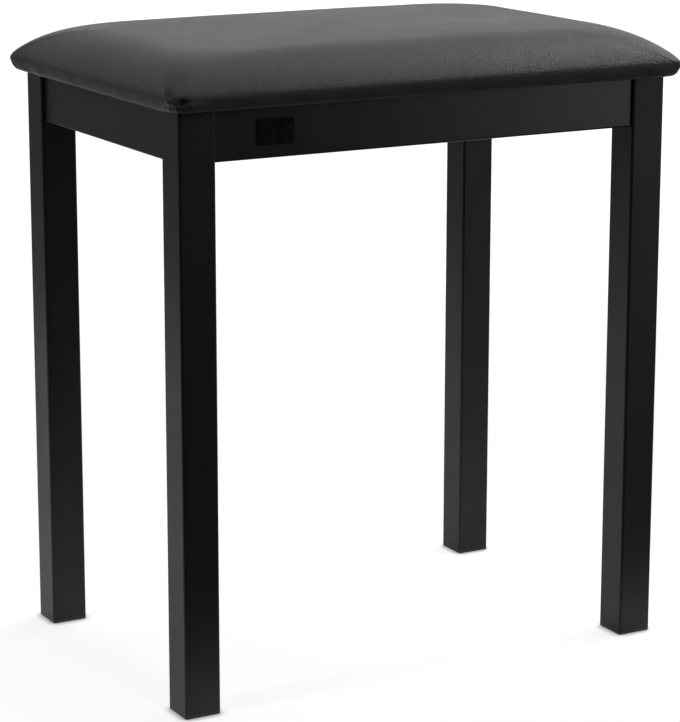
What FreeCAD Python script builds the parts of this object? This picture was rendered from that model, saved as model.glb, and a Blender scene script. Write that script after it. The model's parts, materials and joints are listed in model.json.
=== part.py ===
"""Fixed-height piano stool: a square-tube steel frame under a padded seat.

The frame is two welded side frames (two legs and a short rail each) joined by two
bolted long rails. The seat is a plywood board with a foam pad under a stretched
cover, bolted down onto four corner plates. Units are millimetres. +X runs along the
length, -Y is the front, +Z is up, and the origin is on the floor under the middle.
"""

import FreeCAD, Part
import math
import os

from FreeCAD import Vector

# Frame over the legs
FRAME_LENGTH = 432.0
FRAME_DEPTH = 285.0
FRAME_TOP = 468.0

# Leg tube and its foot plug
LEG_SIZE = 30.0
LEG_WALL = 1.5
LEG_CORNER_RADIUS = 2.0
FOOT_FLANGE = 3.0
FOOT_EDGE_RADIUS = 0.8
FOOT_STEM_HEIGHT = 16.0
FOOT_STEM_WALL = 2.0
FOOT_FIN_COUNT = 3
FOOT_FIN_DEPTH = 0.8
FOOT_FIN_HEIGHT = 1.6
PLUG_CLEARANCE = 0.1

# Plug that closes the top of a leg tube
TOP_PLUG_DEPTH = 12.0
TOP_PLUG_WALL = 2.0

# Rail tube
RAIL_HEIGHT = 40.0
RAIL_WIDTH = 20.0
RAIL_WALL = 1.2
RAIL_CORNER_RADIUS = 1.5
RAIL_RECESS = 2.5
RAIL_END_GAP = 0.5

# Bracket that holds a long rail to a leg, and its bolts
BRACKET_LENGTH = 48.0
BRACKET_HEIGHT = 28.0
BRACKET_THICKNESS = 4.0
BRACKET_HOLE_SPACING = 22.0
BRACKET_HOLE_EDGE = 16.0
BRACKET_BOLT_LENGTH = 14.0

# Fasteners, M6
BOLT_DIAMETER = 6.0
THREAD_CLEARANCE = 0.05
BOLT_HOLE_CLEARANCE = 0.3
HEAD_DIAMETER = 10.5
HEAD_HEIGHT = 3.3
HEAD_EDGE_RADIUS = 1.4
SOCKET_ACROSS_FLATS = 4.0
SOCKET_DEPTH = 2.0
WASHER_DIAMETER = 12.0
WASHER_THICKNESS = 1.6
WELD_NUT_ACROSS_FLATS = 10.0
WELD_NUT_HEIGHT = 5.0

# Corner plate that carries the seat
PLATE_LEG = 60.0
PLATE_TIP = 8.0
PLATE_THICKNESS = 3.0
PLATE_DROP = 2.0
PLATE_HOLE_EDGE = 19.0
SEAT_BOLT_LENGTH = 18.0

# Tee nut in the seat board
TEE_NUT_FLANGE_DIAMETER = 19.0
TEE_NUT_FLANGE_THICKNESS = 1.4
TEE_NUT_BARREL_DIAMETER = 8.0
TEE_NUT_BARREL_LENGTH = 9.0
TEE_NUT_CLEARANCE = 0.05

# Seat board
BOARD_THICKNESS = 12.0
BOARD_OVERHANG = 6.5
BOARD_CORNER_RADIUS = 10.0

# Seat cover: outside shape and turned-under hem
COVER_THICKNESS = 1.0
COVER_FOOT_OVERHANG = 8.5
COVER_NOSE_OVERHANG = 12.5
COVER_NOSE_HEIGHT = 10.5
COVER_TUCK_HEIGHT = 2.0
COVER_TUCK_SHARE = 0.6
COVER_CORNER_RADIUS = 12.0
HEM_WIDTH = 42.0

# Crown of the seat: how far and how high it swells in from the nose
CROWN_HEIGHT = 27.0
CROWN_SHOULDER = 52.0
CROWN_FULLNESS = 1.9
CROWN_SQUARENESS = 1.15
CROWN_CORNER_GROWTH = 1.0
CROWN_CORNER_LIMIT = 0.9
CROWN_STEPS = 12
CROWN_STEP_GROWTH = 1.3
DOME_HEIGHT = 2.0
DOME_FLAT_HALF_DEPTH = 24.0

# Dust sheet under the seat, and the staples
DUST_SHEET_THICKNESS = 0.6
DUST_SHEET_GAP = 1.0
STAPLE_CROWN = 10.0
STAPLE_WIRE = 1.0
STAPLE_LEG = 6.0
STAPLE_EDGE = 4.0
STAPLE_CORNER_GAP = 24.0
STAPLE_PITCH = 36.0

# Blank badge on the front rail
BADGE_LENGTH = 31.0
BADGE_HEIGHT = 20.0
BADGE_THICKNESS = 1.0
BADGE_CORNER_RADIUS = 1.0
BADGE_FROM_LEG = 35.0

# Places worked out from the sizes above
LEG_X = (FRAME_LENGTH - LEG_SIZE) / 2
LEG_Y = (FRAME_DEPTH - LEG_SIZE) / 2
LEG_INNER_X = LEG_X - LEG_SIZE / 2
LEG_INNER_Y = LEG_Y - LEG_SIZE / 2
LEG_BORE = LEG_SIZE - 2 * LEG_WALL
RAIL_MIDDLE_Z = FRAME_TOP - RAIL_HEIGHT / 2
RAIL_OUTER_Y = FRAME_DEPTH / 2 - RAIL_RECESS
RAIL_OUTER_X = FRAME_LENGTH / 2 - RAIL_RECESS
RAIL_INNER_Y = RAIL_OUTER_Y - RAIL_WIDTH
RAIL_INNER_X = RAIL_OUTER_X - RAIL_WIDTH
BRACKET_INNER_Y = RAIL_INNER_Y - BRACKET_THICKNESS
PLATE_BOTTOM = FRAME_TOP - PLATE_DROP - PLATE_THICKNESS
SEAT_BOTTOM = FRAME_TOP
BOARD_BOTTOM = SEAT_BOTTOM + COVER_THICKNESS
BOARD_TOP = BOARD_BOTTOM + BOARD_THICKNESS
NOSE_Z = SEAT_BOTTOM + COVER_NOSE_HEIGHT
BOLT_HOLE_DIAMETER = BOLT_DIAMETER + 2 * BOLT_HOLE_CLEARANCE
SHANK_DIAMETER = BOLT_DIAMETER - 2 * THREAD_CLEARANCE
HEM_HALF_LENGTH = FRAME_LENGTH / 2 + COVER_FOOT_OVERHANG - HEM_WIDTH
HEM_HALF_DEPTH = FRAME_DEPTH / 2 + COVER_FOOT_OVERHANG - HEM_WIDTH
SEAT_BOLT_X = RAIL_INNER_X - PLATE_HOLE_EDGE
SEAT_BOLT_Y = LEG_INNER_Y - PLATE_HOLE_EDGE

CORNERS = [
    (depth + "_" + side, sign_x, sign_y)
    for depth, sign_y in (("front", -1), ("rear", 1))
    for side, sign_x in (("left", -1), ("right", 1))
]


def save(name, *solids):
    """Writes one node: a single solid, or a group of separate solids."""
    shape = solids[0] if len(solids) == 1 else Part.makeCompound(list(solids))
    shape.exportStep(os.path.join("parts", name + ".step"))


def rounded_outline(half_x, half_y, radius, z=0.0):
    """Closed wire of a rectangle with round corners, centred on the Z axis at height z."""
    in_x = half_x - radius
    in_y = half_y - radius
    bend = radius * math.sqrt(0.5)
    edges = []
    corners = [(1, 1), (-1, 1), (-1, -1), (1, -1)]
    for index, (sx, sy) in enumerate(corners):
        on_x = Vector(sx * half_x, sy * in_y, z)
        on_y = Vector(sx * in_x, sy * half_y, z)
        middle = Vector(sx * (in_x + bend), sy * (in_y + bend), z)
        first, last = (on_x, on_y) if sx * sy > 0 else (on_y, on_x)
        edges.append(Part.Arc(first, middle, last).toShape())
        next_x, next_y = corners[(index + 1) % 4]
        if next_x != sx:
            start, end = Vector(sx * in_x, sy * half_y, z), Vector(next_x * in_x, sy * half_y, z)
        else:
            start, end = Vector(sx * half_x, sy * in_y, z), Vector(sx * half_x, next_y * in_y, z)
        edges.append(Part.LineSegment(start, end).toShape())
    return Part.Wire(edges)


def rounded_prism(half_x, half_y, radius, bottom, top):
    """Upright prism with round vertical edges."""
    face = Part.Face(rounded_outline(half_x, half_y, radius, bottom))
    return face.extrude(Vector(0, 0, top - bottom))


def tube(half_x, half_y, wall, radius, bottom, top):
    """Upright rectangular tube with round corners and one wall thickness."""
    outside = rounded_prism(half_x, half_y, radius, bottom, top)
    inner_radius = max(radius - wall, wall / 4)
    return outside.cut(rounded_prism(half_x - wall, half_y - wall, inner_radius, bottom, top))


def box_between(low, high):
    """Box from its lowest to its highest corner."""
    size = high - low
    return Part.makeBox(size.x, size.y, size.z, low)


def cylinder(diameter, height, base, direction):
    """Round bar from base along direction."""
    return Part.makeCylinder(diameter / 2, height, base, direction)


def hexagon(across_flats, height, base, direction):
    """Hexagonal bar from base along direction."""
    radius = across_flats / math.sqrt(3)
    turns = [math.radians(60 * step) for step in range(7)]
    outline = Part.makePolygon([Vector(radius * math.cos(t), radius * math.sin(t), 0) for t in turns])
    bar = Part.Face(outline).extrude(Vector(0, 0, height))
    bar.Placement = FreeCAD.Placement(base, FreeCAD.Rotation(Vector(0, 0, 1), direction))
    return bar


def button_bolt(seat, direction, length):
    """Button-head bolt whose head sits on seat, with its shank pointing along direction."""
    backwards = direction * -1
    head = cylinder(HEAD_DIAMETER, HEAD_HEIGHT, seat, backwards)
    rim = [
        edge
        for edge in head.Edges
        if edge.Curve.TypeId == "Part::GeomCircle" and (edge.Curve.Center - seat).Length > HEAD_HEIGHT / 2
    ]
    head = head.makeFillet(HEAD_EDGE_RADIUS, rim)
    socket_floor = seat + backwards * (HEAD_HEIGHT - SOCKET_DEPTH)
    head = head.cut(hexagon(SOCKET_ACROSS_FLATS, SOCKET_DEPTH, socket_floor, backwards))
    return head.fuse(cylinder(SHANK_DIAMETER, length, seat, direction)).removeSplitter()


def washer(seat, direction):
    """Plain washer lying on seat, with its other face one thickness along direction."""
    disc = cylinder(WASHER_DIAMETER, WASHER_THICKNESS, seat, direction)
    return disc.cut(cylinder(BOLT_HOLE_DIAMETER, WASHER_THICKNESS, seat, direction))


def leg(sign_x, sign_y):
    """Square leg tube standing on its foot plug."""
    solid = tube(LEG_SIZE / 2, LEG_SIZE / 2, LEG_WALL, LEG_CORNER_RADIUS, FOOT_FLANGE, FRAME_TOP)
    solid.translate(Vector(sign_x * LEG_X, sign_y * LEG_Y, 0))
    return solid


def foot(sign_x, sign_y):
    """Foot plug: a flange under the tube and a hollow finned stem inside it."""
    half = LEG_SIZE / 2
    flange = rounded_prism(half, half, LEG_CORNER_RADIUS, 0, FOOT_FLANGE)
    under = [edge for edge in flange.Edges if edge.BoundBox.ZMax < FOOT_FLANGE / 2]
    flange = flange.makeFillet(min(FOOT_EDGE_RADIUS, FOOT_FLANGE / 3), under)
    fin_half = LEG_BORE / 2 - PLUG_CLEARANCE
    stem_half = fin_half - FOOT_FIN_DEPTH
    fin_radius = LEG_CORNER_RADIUS
    stem_top = FOOT_FLANGE + FOOT_STEM_HEIGHT
    solid = flange.fuse(rounded_prism(stem_half, stem_half, fin_radius, FOOT_FLANGE, stem_top))
    pitch = FOOT_STEM_HEIGHT / FOOT_FIN_COUNT
    for index in range(FOOT_FIN_COUNT):
        fin_bottom = FOOT_FLANGE + (index + 0.5) * pitch
        solid = solid.fuse(
            rounded_prism(fin_half, fin_half, fin_radius, fin_bottom, fin_bottom + FOOT_FIN_HEIGHT)
        )
    bore_half = stem_half - FOOT_STEM_WALL
    solid = solid.cut(rounded_prism(bore_half, bore_half, fin_radius / 2, FOOT_FLANGE, stem_top))
    solid.translate(Vector(sign_x * LEG_X, sign_y * LEG_Y, 0))
    return solid.removeSplitter()


def top_plug(sign_x, sign_y):
    """Cup-shaped plug pushed into the top of a leg tube, flush with its end."""
    half = LEG_BORE / 2 - PLUG_CLEARANCE
    bottom = FRAME_TOP - TOP_PLUG_DEPTH
    solid = rounded_prism(half, half, LEG_CORNER_RADIUS, bottom, FRAME_TOP)
    bore_half = half - TOP_PLUG_WALL
    solid = solid.cut(
        rounded_prism(bore_half, bore_half, LEG_CORNER_RADIUS / 2, bottom, FRAME_TOP - TOP_PLUG_WALL)
    )
    solid.translate(Vector(sign_x * LEG_X, sign_y * LEG_Y, 0))
    return solid


def rail_tube(length, turn):
    """Rail tube centred on the origin and lying along X, or along Y when turned."""
    solid = tube(RAIL_HEIGHT / 2, RAIL_WIDTH / 2, RAIL_WALL, RAIL_CORNER_RADIUS, -length / 2, length / 2)
    solid.rotate(Vector(0, 0, 0), Vector(0, 1, 0), 90)
    solid.rotate(Vector(0, 0, 0), Vector(0, 0, 1), turn)
    return solid


def bracket_bolt_places(sign_x, sign_y):
    """Bolt centres of one bracket, on the inner face of the long rail."""
    for step in range(2):
        x = LEG_INNER_X - BRACKET_HOLE_EDGE - step * BRACKET_HOLE_SPACING
        yield Vector(sign_x * x, sign_y * RAIL_INNER_Y, RAIL_MIDDLE_Z)


def long_rail(sign_y):
    """Long rail, with bolt holes through its inner wall at both ends."""
    solid = rail_tube(2 * (LEG_INNER_X - RAIL_END_GAP), 0)
    solid.translate(Vector(0, sign_y * (RAIL_OUTER_Y - RAIL_WIDTH / 2), RAIL_MIDDLE_Z))
    for sign_x in (-1, 1):
        for place in bracket_bolt_places(sign_x, sign_y):
            solid = solid.cut(cylinder(BOLT_HOLE_DIAMETER, RAIL_WIDTH / 2, place, Vector(0, sign_y, 0)))
    return solid


def short_rail(sign_x):
    """Short rail, welded between the two legs of one side frame."""
    solid = rail_tube(2 * LEG_INNER_Y, 90)
    solid.translate(Vector(sign_x * (RAIL_OUTER_X - RAIL_WIDTH / 2), 0, RAIL_MIDDLE_Z))
    return solid


def rail_bracket(sign_x, sign_y):
    """Flat tab welded end-on to a leg, lying against the inner face of a long rail."""
    outer_x = LEG_INNER_X
    low = Vector(outer_x - BRACKET_LENGTH, BRACKET_INNER_Y, RAIL_MIDDLE_Z - BRACKET_HEIGHT / 2)
    high = Vector(outer_x, RAIL_INNER_Y, RAIL_MIDDLE_Z + BRACKET_HEIGHT / 2)
    solid = box_between(low, high)
    if sign_x < 0:
        solid = solid.mirror(Vector(0, 0, 0), Vector(1, 0, 0))
    if sign_y < 0:
        solid = solid.mirror(Vector(0, 0, 0), Vector(0, 1, 0))
    for place in bracket_bolt_places(sign_x, sign_y):
        inwards = Vector(0, -sign_y, 0)
        solid = solid.cut(cylinder(BOLT_HOLE_DIAMETER, BRACKET_THICKNESS, place, inwards))
    return solid


def corner_plate(sign_x, sign_y):
    """Triangular plate with blunt tips, welded to a short rail and a leg just below their tops."""
    x, y = RAIL_INNER_X, LEG_INNER_Y
    points = [
        (x, y),
        (x, y - PLATE_LEG),
        (x - PLATE_TIP, y - PLATE_LEG),
        (x - PLATE_LEG, y - PLATE_TIP),
        (x - PLATE_LEG, y),
        (x, y),
    ]
    outline = Part.makePolygon([Vector(sign_x * px, sign_y * py, PLATE_BOTTOM) for px, py in points])
    solid = Part.Face(outline).extrude(Vector(0, 0, PLATE_THICKNESS))
    base = Vector(sign_x * SEAT_BOLT_X, sign_y * SEAT_BOLT_Y, PLATE_BOTTOM)
    return solid.cut(cylinder(BOLT_HOLE_DIAMETER, PLATE_THICKNESS, base, Vector(0, 0, 1)))


def bracket_fasteners():
    """Bolts, washers and weld nuts that hold the long rails to the leg brackets."""
    bolts, washers, nuts = [], [], []
    for _, sign_x, sign_y in CORNERS:
        outwards = Vector(0, sign_y, 0)
        for place in bracket_bolt_places(sign_x, sign_y):
            washer_seat = place - outwards * BRACKET_THICKNESS
            washers.append(washer(washer_seat, outwards * -1))
            head_seat = washer_seat - outwards * WASHER_THICKNESS
            bolts.append(button_bolt(head_seat, outwards, BRACKET_BOLT_LENGTH))
            nut_seat = place + outwards * RAIL_WALL
            nut = hexagon(WELD_NUT_ACROSS_FLATS, WELD_NUT_HEIGHT, nut_seat, outwards)
            nuts.append(nut.cut(cylinder(BOLT_DIAMETER, WELD_NUT_HEIGHT, nut_seat, outwards)))
    return bolts, washers, nuts


def seat_bolt_places():
    """Centres of the four seat bolts, as (x, y)."""
    return [(sign_x * SEAT_BOLT_X, sign_y * SEAT_BOLT_Y) for _, sign_x, sign_y in CORNERS]


def seat_fasteners():
    """Bolts and washers under the corner plates, and the tee nuts in the board."""
    up = Vector(0, 0, 1)
    bolts, washers, nuts = [], [], []
    for x, y in seat_bolt_places():
        washer_seat = Vector(x, y, PLATE_BOTTOM)
        washers.append(washer(washer_seat, up * -1))
        bolts.append(button_bolt(washer_seat - up * WASHER_THICKNESS, up, SEAT_BOLT_LENGTH))
        flange_bottom = Vector(x, y, BOARD_TOP - TEE_NUT_FLANGE_THICKNESS)
        barrel_bottom = Vector(x, y, BOARD_TOP - TEE_NUT_BARREL_LENGTH)
        nut = cylinder(TEE_NUT_FLANGE_DIAMETER, TEE_NUT_FLANGE_THICKNESS, flange_bottom, up)
        nut = nut.fuse(cylinder(TEE_NUT_BARREL_DIAMETER, TEE_NUT_BARREL_LENGTH, barrel_bottom, up))
        nut = nut.cut(cylinder(BOLT_DIAMETER, TEE_NUT_BARREL_LENGTH, barrel_bottom, up))
        nuts.append(nut.removeSplitter())
    return bolts, washers, nuts


def seat_board():
    """Plywood seat board, bored and counterbored for the tee nuts."""
    half_x = FRAME_LENGTH / 2 + BOARD_OVERHANG
    half_y = FRAME_DEPTH / 2 + BOARD_OVERHANG
    solid = rounded_prism(half_x, half_y, BOARD_CORNER_RADIUS, BOARD_BOTTOM, BOARD_TOP)
    up = Vector(0, 0, 1)
    for x, y in seat_bolt_places():
        bore = TEE_NUT_BARREL_DIAMETER + 2 * TEE_NUT_CLEARANCE
        solid = solid.cut(cylinder(bore, BOARD_THICKNESS, Vector(x, y, BOARD_BOTTOM), up))
        recess = TEE_NUT_FLANGE_DIAMETER + 2 * TEE_NUT_CLEARANCE
        recess_bottom = Vector(x, y, BOARD_TOP - TEE_NUT_FLANGE_THICKNESS)
        solid = solid.cut(cylinder(recess, TEE_NUT_FLANGE_THICKNESS, recess_bottom, up))
    return solid


def crown_rise(inset):
    """Height over the nose at an inset from it: a rounded shoulder, then a shallow dome."""
    share = min(inset / CROWN_SHOULDER, 1.0)
    shoulder = CROWN_HEIGHT * (1 - (1 - share) ** CROWN_FULLNESS) ** (1 / CROWN_SQUARENESS)
    dome_run = FRAME_DEPTH / 2 + COVER_NOSE_OVERHANG
    return shoulder + DOME_HEIGHT * (1 - (1 - inset / dome_run) ** 2)


def seat_outline(inset_from_nose, z, skin):
    """Level outline of the seat form at an inset from the nose, skin inside the cover's outer face."""
    half_x = FRAME_LENGTH / 2 + COVER_NOSE_OVERHANG - inset_from_nose - skin
    half_y = FRAME_DEPTH / 2 + COVER_NOSE_OVERHANG - inset_from_nose - skin
    radius = COVER_CORNER_RADIUS - skin / 2
    if z > NOSE_Z:
        radius += CROWN_CORNER_GROWTH * inset_from_nose
    return rounded_outline(half_x, half_y, min(radius, half_y * CROWN_CORNER_LIMIT), z)


def padding_form(skin):
    """Seat form, skin inside the cover's outer face: a drawn-in band below the nose and a crown above it."""
    bottom = SEAT_BOTTOM + skin
    tuck = COVER_NOSE_OVERHANG - COVER_FOOT_OVERHANG
    band = [
        seat_outline(tuck, bottom, skin),
        seat_outline(tuck * COVER_TUCK_SHARE, bottom + COVER_TUCK_HEIGHT, skin),
        seat_outline(0.0, NOSE_Z, skin),
    ]
    crown = [seat_outline(0.0, NOSE_Z, skin)]
    last_inset = FRAME_DEPTH / 2 + COVER_NOSE_OVERHANG - DOME_FLAT_HALF_DEPTH
    for step in range(1, CROWN_STEPS + 1):
        inset = last_inset * (step / CROWN_STEPS) ** CROWN_STEP_GROWTH
        crown.append(seat_outline(inset, NOSE_Z + crown_rise(inset) - skin, skin))
    return Part.makeLoft(band, True, True).fuse(Part.makeLoft(crown, True, False, False, 3))


def staples():
    """Staples that hold the cover's hem and the dust sheet, points up in the board."""
    up = STAPLE_LEG
    solids = []

    def staple(x, y, along_x, top):
        half = STAPLE_CROWN / 2
        wire = STAPLE_WIRE / 2
        reach_x, reach_y = (half, wire) if along_x else (wire, half)
        low = Vector(x - reach_x, y - reach_y, top - STAPLE_WIRE)
        solid = box_between(low, Vector(x + reach_x, y + reach_y, top))
        for side in (-1, 1):
            shift = side * (half - wire)
            leg_x, leg_y = (x + shift, y) if along_x else (x, y + shift)
            foot_corner = Vector(leg_x - wire, leg_y - wire, top)
            solid = solid.fuse(box_between(foot_corner, Vector(leg_x + wire, leg_y + wire, top + up)))
        solids.append(solid.removeSplitter())

    rows = (
        (HEM_HALF_LENGTH + STAPLE_EDGE, HEM_HALF_DEPTH + STAPLE_EDGE, SEAT_BOTTOM),
        (
            HEM_HALF_LENGTH - DUST_SHEET_GAP - STAPLE_EDGE,
            HEM_HALF_DEPTH - DUST_SHEET_GAP - STAPLE_EDGE,
            BOARD_BOTTOM - DUST_SHEET_THICKNESS,
        ),
    )
    for half_x, half_y, top in rows:
        for half, other, along_x in ((half_x, half_y, True), (half_y, half_x, False)):
            span = half - STAPLE_CORNER_GAP
            count = max(2, round(2 * span / STAPLE_PITCH) + 1)
            for index in range(count):
                run = -span + 2 * span * index / (count - 1)
                for side in (-1, 1):
                    x, y = (run, side * other) if along_x else (side * other, run)
                    staple(x, y, along_x, top)
    return solids


def seat():
    """Board, foam, cover, dust sheet and staples, each cut to clear what passes through it."""
    pins = staples()
    board = seat_board().cut(pins)
    board_space = rounded_prism(
        FRAME_LENGTH / 2 + BOARD_OVERHANG,
        FRAME_DEPTH / 2 + BOARD_OVERHANG,
        BOARD_CORNER_RADIUS,
        BOARD_BOTTOM,
        BOARD_TOP,
    )
    inside = padding_form(COVER_THICKNESS)
    foam = inside.cut(board_space)
    window = rounded_prism(HEM_HALF_LENGTH, HEM_HALF_DEPTH, COVER_THICKNESS, SEAT_BOTTOM, BOARD_BOTTOM)
    cover = padding_form(0.0).cut(inside).cut(window).cut(pins)
    sheet = rounded_prism(
        HEM_HALF_LENGTH - DUST_SHEET_GAP,
        HEM_HALF_DEPTH - DUST_SHEET_GAP,
        COVER_THICKNESS,
        BOARD_BOTTOM - DUST_SHEET_THICKNESS,
        BOARD_BOTTOM,
    )
    up = Vector(0, 0, 1)
    for x, y in seat_bolt_places():
        base = Vector(x, y, BOARD_BOTTOM - DUST_SHEET_THICKNESS)
        sheet = sheet.cut(cylinder(BOLT_HOLE_DIAMETER, DUST_SHEET_THICKNESS, base, up))
    return board, foam, cover, sheet.cut(pins), pins


def badge():
    """Blank badge plate stuck to the front rail, near the left leg."""
    plate = rounded_prism(BADGE_LENGTH / 2, BADGE_HEIGHT / 2, BADGE_CORNER_RADIUS, 0, BADGE_THICKNESS)
    plate.rotate(Vector(0, 0, 0), Vector(1, 0, 0), 90)
    x = -LEG_INNER_X + BADGE_FROM_LEG + BADGE_LENGTH / 2
    plate.translate(Vector(x, -RAIL_OUTER_Y, RAIL_MIDDLE_Z))
    return plate


def main():
    os.makedirs("parts", exist_ok=True)
    for name, sign_x, sign_y in CORNERS:
        save("leg_" + name, leg(sign_x, sign_y))
        save("foot_" + name, foot(sign_x, sign_y))
        save("top_plug_" + name, top_plug(sign_x, sign_y))
        save("rail_bracket_" + name, rail_bracket(sign_x, sign_y))
        save("corner_plate_" + name, corner_plate(sign_x, sign_y))
    save("front_rail", long_rail(-1))
    save("rear_rail", long_rail(1))
    save("left_rail", short_rail(-1))
    save("right_rail", short_rail(1))

    bolts, washers, nuts = bracket_fasteners()
    save("rail_bolts", *bolts)
    save("rail_washers", *washers)
    save("rail_weld_nuts", *nuts)

    bolts, washers, nuts = seat_fasteners()
    save("seat_bolts", *bolts)
    save("seat_washers", *washers)
    save("seat_tee_nuts", *nuts)

    board, foam, cover, sheet, pins = seat()
    save("seat_board", board)
    save("seat_foam", foam)
    save("seat_cover", cover)
    save("dust_sheet", sheet)
    save("staples", *pins)
    save("badge", badge())


main()
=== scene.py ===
"""Looks of a fixed-height piano stool: its finishes, soft seat, dust sheet, camera and studio.

Everything is in metres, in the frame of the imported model: +X along the length, -Y the front, +Z up.
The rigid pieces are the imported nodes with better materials. The padded seat and the dust sheet are
new surfaces that stand for their solids.
"""

import json
import logging
import math
from dataclasses import asdict, dataclass
from enum import Enum
from typing import NamedTuple

import bpy
import numpy as np
from mathutils import Matrix, Vector


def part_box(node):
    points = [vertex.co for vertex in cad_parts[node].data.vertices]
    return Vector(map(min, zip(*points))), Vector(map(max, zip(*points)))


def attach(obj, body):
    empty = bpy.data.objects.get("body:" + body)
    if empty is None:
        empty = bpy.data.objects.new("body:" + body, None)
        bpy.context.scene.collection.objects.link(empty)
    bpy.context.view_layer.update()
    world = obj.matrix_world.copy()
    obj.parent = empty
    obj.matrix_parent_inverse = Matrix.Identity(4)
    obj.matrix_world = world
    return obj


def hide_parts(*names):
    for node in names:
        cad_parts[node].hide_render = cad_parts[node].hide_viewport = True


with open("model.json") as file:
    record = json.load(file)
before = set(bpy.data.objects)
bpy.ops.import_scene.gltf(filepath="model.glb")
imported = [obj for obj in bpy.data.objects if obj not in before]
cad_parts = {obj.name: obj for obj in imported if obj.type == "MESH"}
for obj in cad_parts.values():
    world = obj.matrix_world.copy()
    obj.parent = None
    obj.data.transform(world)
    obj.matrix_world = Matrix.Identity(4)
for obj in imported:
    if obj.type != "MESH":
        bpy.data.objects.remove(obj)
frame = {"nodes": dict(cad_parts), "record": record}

LOG = logging.getLogger("piano_stool")
ROOT_BODY = "root"
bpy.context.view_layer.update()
MILLI = 0.001

Span = tuple[float, float]
Colour = tuple[float, float, float]
Place = tuple[float, float, float]
Output = bpy.types.NodeSocket
Sockets = bpy.types.bpy_prop_collection
Feed = float | Colour | Output
UNIT: Span = (0.0, 1.0)


class Socket(Enum):
    """Socket types that the shared node groups use."""

    VALUE = "NodeSocketFloat"
    VECTOR = "NodeSocketVector"


class Graph:
    """A node tree with short calls that add nodes and join them."""

    def __init__(self, tree: bpy.types.NodeTree) -> None:
        """Empties the tree that the calls add to."""
        self.tree = tree
        tree.nodes.clear()

    def node(self, kind: str, inputs: dict | None = None, **settings: object) -> bpy.types.Node:
        """Adds one node.

        Args:
            kind: the node's Blender type name.
            inputs: socket name or number to a constant, or to an output socket to join it to.
            settings: properties of the node itself.

        Returns:
            The new node.
        """
        made = self.tree.nodes.new(kind)
        for name, value in settings.items():
            setattr(made, name, value)
        for name, value in (inputs or {}).items():
            socket = made.inputs[name]
            if isinstance(value, Output):
                self.tree.links.new(value, socket)
            else:
                socket.default_value = (*value, 1.0) if socket.type == "RGBA" else value
        return made

    def math(self, operation: str, first: Feed, second: Feed, clamp: bool = False) -> Output:
        """Adds a Math node and returns its value."""
        made = self.node("ShaderNodeMath", {0: first, 1: second}, operation=operation, use_clamp=clamp)
        return made.outputs[0]

    def times(self, first: Feed, second: Feed) -> Output:
        """Multiplies two values."""
        return self.math("MULTIPLY", first, second)

    def vector(self, operation: str, inputs: dict) -> Sockets:
        """Adds a Vector Math node and returns its outputs."""
        return self.node("ShaderNodeVectorMath", inputs, operation=operation).outputs

    def noise(self, place: Output, scale: Feed, detail: float, **more: float) -> Sockets:
        """Adds a Noise Texture, with further inputs by their own names, and returns its outputs."""
        inputs = {"Vector": place, "Scale": scale, "Detail": detail, **more}
        return self.node("ShaderNodeTexNoise", inputs).outputs

    def span(self, value: Output, given: tuple = UNIT, wanted: Span = UNIT, smooth: bool = False) -> Output:
        """Maps a value from one span to another, held at both ends.

        Args:
            value: the value.
            given: the span it comes from, as constants or outputs.
            wanted: the span to map it to.
            smooth: whether the ends are level.

        Returns:
            The result.
        """
        kind = "SMOOTHSTEP" if smooth else "LINEAR"
        limits = {"From Min": given[0], "From Max": given[1], "To Min": wanted[0], "To Max": wanted[1]}
        made = self.node("ShaderNodeMapRange", {"Value": value} | limits, interpolation_type=kind)
        return made.outputs["Result"]

    def blend(self, share: Output, first: Feed, second: Feed) -> Output:
        """Mixes two colours by share and returns the colour."""
        return self.node("ShaderNodeMix", {0: share, 6: first, 7: second}, data_type="RGBA").outputs[2]


class Surface(Graph):
    """The graph of a new material, with the Object coordinates that its textures use."""

    def __init__(self, name: str) -> None:
        """Starts the material.

        Args:
            name: the material's name.
        """
        self.material = bpy.data.materials.new(name)
        self.material.use_nodes = True
        super().__init__(self.material.node_tree)
        self.place = self.node("ShaderNodeTexCoord").outputs["Object"]

    def end(self, shader: bpy.types.Node) -> bpy.types.Material:
        """Joins the last shader to the material's output and returns the material."""
        self.node("ShaderNodeOutputMaterial", {"Surface": shader.outputs[0]})
        return self.material


@dataclass(frozen=True)
class Effect:
    """A shared surface effect: a node group, built once, and the values that one finish gives it."""

    def results(self, graph: Graph, given: Sockets) -> dict[str, Output]:
        """Builds the effect inside its group; each kind of effect has its own.

        Args:
            graph: the group's graph.
            given: the group's inputs: the vector, and the effect's values.

        Returns:
            What the group puts out, by name.
        """
        raise NotImplementedError

    def group(self, label: str, names: list[str]) -> bpy.types.NodeTree:
        """Makes the effect's node group.

        Args:
            label: the group's name.
            names: names of its values.

        Returns:
            The group.
        """
        tree = bpy.data.node_groups.new(label, "ShaderNodeTree")
        sockets = tree.interface
        sockets.new_socket(name="Vector", in_out="INPUT", socket_type=Socket.VECTOR.value)
        for name in names:
            sockets.new_socket(name=name, in_out="INPUT", socket_type=Socket.VALUE.value)
        graph = Graph(tree)
        results = self.results(graph, graph.node("NodeGroupInput").outputs)
        for name in results:
            sockets.new_socket(name=name, in_out="OUTPUT", socket_type=Socket.VALUE.value)
        graph.node("NodeGroupOutput", results)
        return tree

    def place(self, graph: Surface) -> Sockets:
        """Puts the effect into a material's graph with this finish's values.

        Args:
            graph: the material's graph.

        Returns:
            The outputs of the group's node.
        """
        values = {name.capitalize(): value for name, value in asdict(self).items()}
        label = type(self).__name__
        tree = bpy.data.node_groups.get(label) or self.group(label, list(values))
        return graph.node("ShaderNodeGroup", {"Vector": graph.place} | values, node_tree=tree).outputs


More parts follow.
